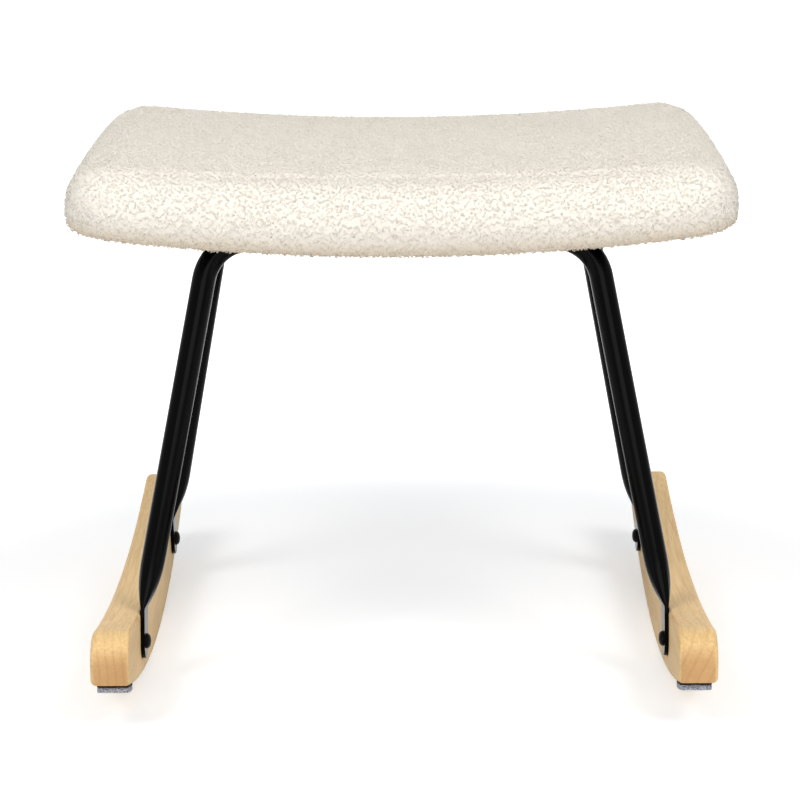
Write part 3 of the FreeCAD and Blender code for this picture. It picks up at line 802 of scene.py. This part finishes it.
def fibres(name, at, normal):
    """Short bent fibres standing out of a surface, each a thin three-sided tube to a point."""
    n = len(at)
    lean = rng.normal(size=(n, 3)) * 0.8
    way = normal + lean
    way /= np.linalg.norm(way, axis=1)[:, None]
    side = np.cross(way, rng.normal(size=(n, 3)))
    side /= np.linalg.norm(side, axis=1)[:, None]
    other = np.cross(way, side)
    length = between(fibre_length, n)[:, None]
    rings = []
    for share, width in ((0.0, 1.0), (0.55, 0.8)):
        middle = at + way * length * share + side * length * (0.35 * share * share)
        for k in range(3):
            a = 2 * math.pi * k / 3
            around = side * math.cos(a) + other * math.sin(a)
            rings.append(middle + around * fibre_radius * width)
    tip = at + way * length + side * length * 0.35
    points = np.stack(rings + [tip], 1).reshape(-1, 3)
    base = np.arange(n)[:, None, None] * 7
    wall = np.array([[k, (k + 1) % 3, 3 + (k + 1) % 3, 3 + k] for k in range(3)])
    quads = (base + wall).reshape(-1, 4)
    triangles = np.concatenate([
        (base + np.array([[3 + k, 3 + (k + 1) % 3, 6] for k in range(3)])).reshape(-1, 3),
        (base + np.array([[2, 1, 0]])).reshape(-1, 3),
    ])
    return mesh_from_arrays(name, points, quads, triangles)


def dress_cad_nodes():
    """Better materials for the CAD nodes that show as they are."""
    paint = paint_material()
    bolt = bolt_material()
    zinc = zinc_material()
    backing = backing_material()
    finishes = {
        "front_leg_tube": paint, "rear_leg_tube": paint,
        "left_seat_bracket": paint, "right_seat_bracket": paint,
        "bracket_welds": weld_material(),
        "rocker_bolts": bolt, "seat_bolts": bolt, "seat_washers": bolt,
        "rocker_inserts": zinc, "tee_nuts": zinc, "cover_staples": zinc,
        "seat_board": plywood_material(),
        "left_rocker": wood_material("left_rocker_wood", -0.40, 0.02, 1000.0),
        "right_rocker": wood_material("right_rocker_wood", 0.37, -0.015, 820.0),
    }
    for name in nodes:
        if name.endswith("pad_backing"):
            finishes[name] = backing
    for name, material in finishes.items():
        for material_slot in nodes[name].material_slots:
            material_slot.material = material


def background_rays(nodes_, links):
    """1 for rays that see the plain background: camera, mirrored and transmitted ones."""
    path = nodes_.new("ShaderNodeLightPath")
    seen = path.outputs["Is Camera Ray"]
    for name in ("Is Glossy Ray", "Is Transmission Ray"):
        seen = maths(nodes_, links, "MAXIMUM", seen, path.outputs[name])
    return seen


def make_floor():
    """A pale floor that catches the shadow near the stool and turns plain white further out."""
    bpy.ops.mesh.primitive_plane_add(size=14, location=(0, 0, 0))
    floor = bpy.context.object
    floor.name = "floor"
    material = bpy.data.materials.new("studio_floor")
    material.use_nodes = True
    n, l = material.node_tree.nodes, material.node_tree.links
    n.clear()
    out = n.new("ShaderNodeOutputMaterial")
    lit = n.new("ShaderNodeBsdfDiffuse")
    lit.inputs["Color"].default_value = (*floor_colour, 1)
    glow = n.new("ShaderNodeEmission")
    glow.inputs["Color"].default_value = (*white, 1)
    where = n.new("ShaderNodeTexCoord")
    away = n.new("ShaderNodeVectorMath")
    away.operation = "LENGTH"
    l.new(where.outputs["Object"], away.inputs[0])
    fade = spread(n, l, away.outputs["Value"], floor_glow, 1.0, *floor_fade, "SMOOTHSTEP")
    l.new(maths(n, l, "MULTIPLY", background_rays(n, l), fade), glow.inputs["Strength"])
    both = n.new("ShaderNodeAddShader")
    l.new(lit.outputs[0], both.inputs[0])
    l.new(glow.outputs[0], both.inputs[1])
    l.new(both.outputs[0], out.inputs["Surface"])
    floor.data.materials.append(material)


def make_lights():
    """A plain white surround, dimmer as a light than as a background, and four soft lamps."""
    world = bpy.data.worlds.new("studio")
    bpy.context.scene.world = world
    world.use_nodes = True
    n, l = world.node_tree.nodes, world.node_tree.links
    background = n["Background"]
    shown = background_rays(n, l)
    l.new(mix(n, l, shown, world_tint, white), background.inputs["Color"])
    l.new(spread(n, l, shown, world_light, 1.0), background.inputs["Strength"])
    for name, at, size, power, colour in lamps:
        light = bpy.data.lights.new(name, "AREA")
        light.shape = "RECTANGLE"
        light.size, light.size_y = size
        light.energy = power
        light.color = colour
        lamp = link(bpy.data.objects.new(name, light))
        lamp.location = at
        lamp.rotation_euler = (lamp_target - Vector(at)).to_track_quat("-Z", "Y").to_euler()


def make_camera():
    """The camera of the photograph."""
    yaw, pitch, roll = camera_yaw, camera_pitch, camera_roll
    level = math.cos(pitch)
    forward = Vector((math.sin(yaw) * level, math.cos(yaw) * level, -math.sin(pitch)))
    right = Vector((math.cos(yaw), -math.sin(yaw), 0))
    up = right.cross(forward)
    turned_right = right * math.cos(roll) + up * math.sin(roll)
    turned_up = up * math.cos(roll) - right * math.sin(roll)
    camera = bpy.data.cameras.new("camera")
    camera.lens = camera_lens
    camera.sensor_width = 36
    shot = link(bpy.data.objects.new("camera", camera))
    turn = Matrix((turned_right, turned_up, -forward)).transposed()
    shot.matrix_world = Matrix.Translation(camera_at) @ turn.to_4x4()
    bpy.context.scene.camera = shot


dress_cad_nodes()
make_cushion()
make_lining()
felt = felt_material()
for corner in ("front_left", "front_right", "rear_left", "rear_right"):
    make_felt_pad(corner + "_felt_pad", felt)
make_floor()
make_lights()
make_camera()
bpy.context.scene.view_settings.view_transform = "Standard"
